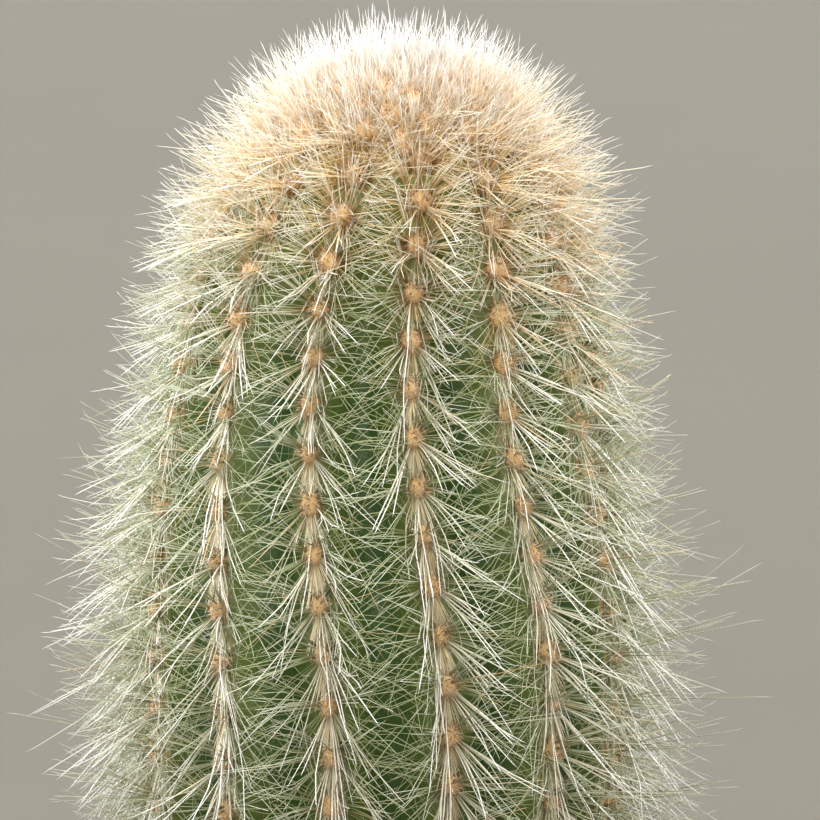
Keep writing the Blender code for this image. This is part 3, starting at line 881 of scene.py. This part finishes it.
def makeSoil():
    # The bed is a closed ring of rows: the rough top from the stem out, down the wall, under and back.
    # Its stones are mostly small and half sunk in even places, and a share of each kind is pale.
    g = soil
    rng = np.random.default_rng(g["seed"])
    inner = float(crestRadius(np.array(stem["aboveSoil"]))) + g["stemGap"]
    outer = float(innerRadius(soilTop)) - g["wallGap"]
    floor = potInside["floor"] + g["wallGap"]
    holeFloor = soilTop - stem["buried"] - g["holeGap"]
    angle = circle(g["segments"])
    edges = [(g["holeMiddle"], holeFloor), (inner, holeFloor), (inner, soilTop - g["collar"])]
    hole = [around(radius, angle, height)[None] for radius, height in edges]
    top = soilPoints(np.linspace(inner, outer, g["rows"])[:, None] + 0 * angle, angle)
    under = [around(float(innerRadius(z)) - g["wallGap"], angle, z)[None]
             for z in np.linspace(soilTop - g["wallDrop"], floor, g["underRows"])]
    shape, faces = closedRings(np.concatenate(hole + [top] + under), [0, 0, holeFloor], [0, 0, floor])
    material = makeSoilMaterial()
    bed = putMesh("soilBed", shape, faces, material, {"shade": np.zeros(len(shape))})
    hand(bed, "soil")
    spare = g["stoneSpare"]
    for name, kind in soilStones.items():
        count = kind["count"]
        reach = np.sqrt(rng.uniform((inner + spare[0]) ** 2, (outer - spare[1]) ** 2, count))
        angle = rng.uniform(0, twoPi, count)
        size = blend(kind["size"], rng.uniform(0, 1, count) ** g["stoneSizes"])
        frames = np.linalg.qr(rng.normal(size=(count, 3, 3)))[0]
        axes = frames * (size[:, None] * rng.uniform(*g["flatness"], (count, 3)))[:, :, None]
        centres = soilPoints(reach, angle) + up * (size * g["lift"])[:, None]
        shades = np.where(rng.uniform(0, 1, count) < kind["paleShare"], rng.uniform(*kind["pale"], count),
                          kind["plain"])
        piece = scatter(name, material, *ballShape(*kind["ball"]), centres, axes, {"shade": shades},
                        g["uneven"], rng)
        hand(piece, "soil")


# pot

potInside = dict(floor=0.006, wall=0.004, rimWall=0.008, footRadius=0.0365, drain=0.007)
# the lime bloom lies from the first height of limeFoot down, and between limeBand and limeTop
clay = dict(
    band=0.024, bandTaper=0.0006, bodyTop=0.049, edge=0.0014, worn=0.0012, segments=168,
    wobble=0.0001, wobbleLength=0.03, limeFoot=(0.034, 0.002), limeBand=(0.058, 0.07), limeTop=(0.09, 0.074),
    base=rgb(172, 92, 58), deep=rgb(138, 68, 42), pale=rgb(198, 134, 98), lime=rgb(210, 194, 174),
)


def innerRadius(z):
    # inner radius of the pot at height z, one straight taper from the floor to the rim
    ends = potInside["footRadius"] - potInside["wall"], potHigh.x - potInside["rimWall"]
    return blend(ends, (z - potInside["floor"]) / (potHigh.z - potInside["floor"]))


def softProfile(corners, radius, steps=4, length=0.004):
    # a closed outline with rounded corners, its straight stretches cut into runs of about this length
    points, most = [], 0.4   # a corner takes up no more than this share of a side
    for here, before, after in zip(corners, np.roll(corners, 1, axis=0), np.roll(corners, -1, axis=0)):
        back, ahead = before - here, after - here
        longest = np.linalg.norm(ahead) * most
        cut = min(radius, np.linalg.norm(back) * most, longest)
        start, stop = here + unit(back) * cut, here + unit(ahead) * cut
        t = np.linspace(0, 1, steps + 1)[:, None]
        points.append((1 - t) ** 2 * start + 2 * t * (1 - t) * here + t ** 2 * stop)
        run = np.linalg.norm(ahead) - cut - min(radius, longest)
        parts = max(1, int(run / length))
        points.append(stop + unit(ahead) * run * (np.arange(1, parts) / parts)[:, None])
    return np.concatenate(points)


def makeClayMaterial():
    c = clay
    made, shader = newMaterial("firedClay", Roughness=0.85)
    where = place()
    height = wire("SeparateXYZ", {0: where}).outputs["Z"]
    fine = mottle(420.0, 0.5)
    tone = mixed(mottle(22.0, 0.25), c["base"], c["deep"])
    tone = mixed(times(fine, 0.35), tone, c["pale"])
    worn = times(attribute("edge"), span(fine, 0, 1, 0.2, 0.7))
    tone = mixed(worn, tone, c["pale"])
    high = times(span(height, *c["limeBand"]), span(height, *c["limeTop"]))
    bloom = math2("MAXIMUM", span(height, *c["limeFoot"]), times(high, 0.7))
    bloom = times(bloom, mottle(60.0, 0.45))
    tone = mixed(times(bloom, 0.55), tone, c["lime"])
    feed(shader, Base_Color=tone, Roughness=span(fine, 0, 1, 0.78, 0.93))
    # turning rings: a noise squeezed along the axis, with sand over it
    squeezed = wire("Mapping", {"Vector": where, "Scale": (1.0, 1.0, 26.0)}).outputs[0]
    rings = times(noise(60.0, 3.0, squeezed), 1.2)
    roughen(shader, math2("ADD", rings, noise(1600.0, 4.0)), 0.4, 0.0003)
    return made


def makePot():
    # the same outline as the pot's solid, with soft corners, turned round the axis with a slight wobble
    c, p = clay, potInside
    rim, top = potHigh.x, potHigh.z
    band = top - c["band"]
    corners = np.array([
        [rim, top], [rim - c["bandTaper"], band], [c["bodyTop"], band], [p["footRadius"], 0.0],
        [p["drain"], 0.0], [p["drain"], p["floor"]],
        [innerRadius(p["floor"]), p["floor"]], [innerRadius(top), top],
    ])
    profile = softProfile(corners, c["edge"])
    angle = circle(c["segments"])
    radius, height = (profile[:, [k]] + 0 * angle for k in (0, 1))
    points = around(radius, angle, height)
    radius = radius - np.abs(ripples(points, c["wobbleLength"], 5) * c["wobble"])
    points = around(radius, angle, height)
    distance = np.linalg.norm(profile[:, None] - corners[None], axis=-1).min(1)
    edge = np.exp(-(distance / c["worn"]) ** 2)[:, None] + 0 * angle
    faces = [ringFaces(len(profile), c["segments"], closed=True)]
    piece = putMesh("potClay", points.reshape(-1, 3), faces, makeClayMaterial(), {"edge": edge.ravel()})
    hand(piece, "pot")


# studio

# each sun: compass angle, height, strength, spread and colour
studio = dict(
    viewWidth=0.0861, sensor=36.0, distance=0.5, elevation=12.0, aimX=0.0029, aimDrop=0.0336, reach=12.0,
    floor=rgb(103, 99, 86), patch=rgb(100, 96, 83), sky=rgb(236, 234, 230), skyLow=0.5, skyHigh=1.45,
    boxPower=0.3, boxSize=0.14, boxAim=(-8, 40), boxDistance=0.22, boxColour=(1.0, 0.97, 0.9),
    suns=dict(
        topKey=(160, 66, 0.7, 60, (1.0, 0.98, 0.94)), overhead=(-12, 62, 0.7, 50, (1.0, 0.97, 0.82)),
        leftRim=(-112, 12, 7.5, 40, (0.93, 0.98, 1.14)), rightRim=(112, 14, 4.4, 40, (0.93, 0.98, 1.14)),
        frontFill=(-6, 22, 0.75, 30, (1.0, 0.97, 0.8)),
    ),
)


def makeFloor():
    made, shader = newMaterial("studioFloor", Roughness=0.8)
    feed(shader, Base_Color=mixed(mottle(3.0, 0.3), studio["floor"], studio["patch"]))
    corners = np.array([[-1, -1, 0], [1, -1, 0], [1, 1, 0], [-1, 1, 0]]) * studio["reach"]
    floor = putMesh("studioFloor", corners, [np.array([[0, 1, 2, 3]])], made, smooth=False)


def makeLamp(name, kind, azimuth, elevation, power, colour):
    # a light at this compass angle from the camera's side and this height, aimed at the plant
    light = bpy.data.lights.new(name, kind)
    light.energy = power
    light.color = colour
    lamp = addObject(name, light)
    lamp.rotation_euler = (math.radians(90 - elevation), 0, math.radians(azimuth))
    return light, lamp


def makeLights():
    for name, (azimuth, elevation, strength, spread, colour) in studio["suns"].items():
        light, _ = makeLamp(name, "SUN", azimuth, elevation, strength, colour)
        light.angle = math.radians(spread)
    # a square light in front of and above the tip, so near that the stem is darker towards the soil
    light, lamp = makeLamp("softbox", "AREA", *studio["boxAim"], studio["boxPower"], studio["boxColour"])
    light.size = studio["boxSize"]
    azimuth, elevation = np.radians(studio["boxAim"])
    aim = outward(azimuth) * np.cos(elevation) + up * np.sin(elevation)
    lamp.location = up * stem["apex"] + aim * studio["boxDistance"]
    lamp.visible_camera = False


def makeCamera():
    data = bpy.data.cameras.new("photoCamera")
    data.sensor_width = studio["sensor"]
    data.lens = studio["sensor"] * studio["distance"] / studio["viewWidth"]
    data.clip_start = 0.01
    tilt = math.radians(studio["elevation"])
    aim = np.array([studio["aimX"], 0.0, stem["apex"] - studio["aimDrop"]])
    camera = addObject("photoCamera", data)
    camera.location = aim + studio["distance"] * np.array([0, -math.cos(tilt), math.sin(tilt)])
    camera.rotation_euler = (math.radians(90) - tilt, 0, 0)
    bpy.context.scene.camera = camera


def makeStudio():
    makeFloor()
    bpy.context.scene.view_settings.view_transform = "Standard"
    world = bpy.data.worlds.new("softSky")
    world.use_nodes = True
    sky = openTree(world.node_tree).nodes["Background"]
    sky.inputs["Color"].default_value = studio["sky"]
    aim = wire("TexCoord").outputs["Generated"]
    height = wire("SeparateXYZ", {0: aim}).outputs["Z"]
    feed(sky, Strength=span(height, 0.1, 1.0, studio["skyLow"], studio["skyHigh"]))
    bpy.context.scene.world = world
    makeLights()
    makeCamera()


print("pot and soil")
makePot()
makeSoil()
print("stem")
feltMaterial = makeFeltMaterial()
makeSkin()
areoleDrop, areoleRib = areolePlaces()
print(f"  {len(areoleDrop)} areoles")
makeFelt(areoleDrop, areoleRib)
makeRibWool(areoleDrop, areoleRib)
makeSpines(areoleDrop, areoleRib)
print("crown")
makeCrown()
print("studio")
makeStudio()
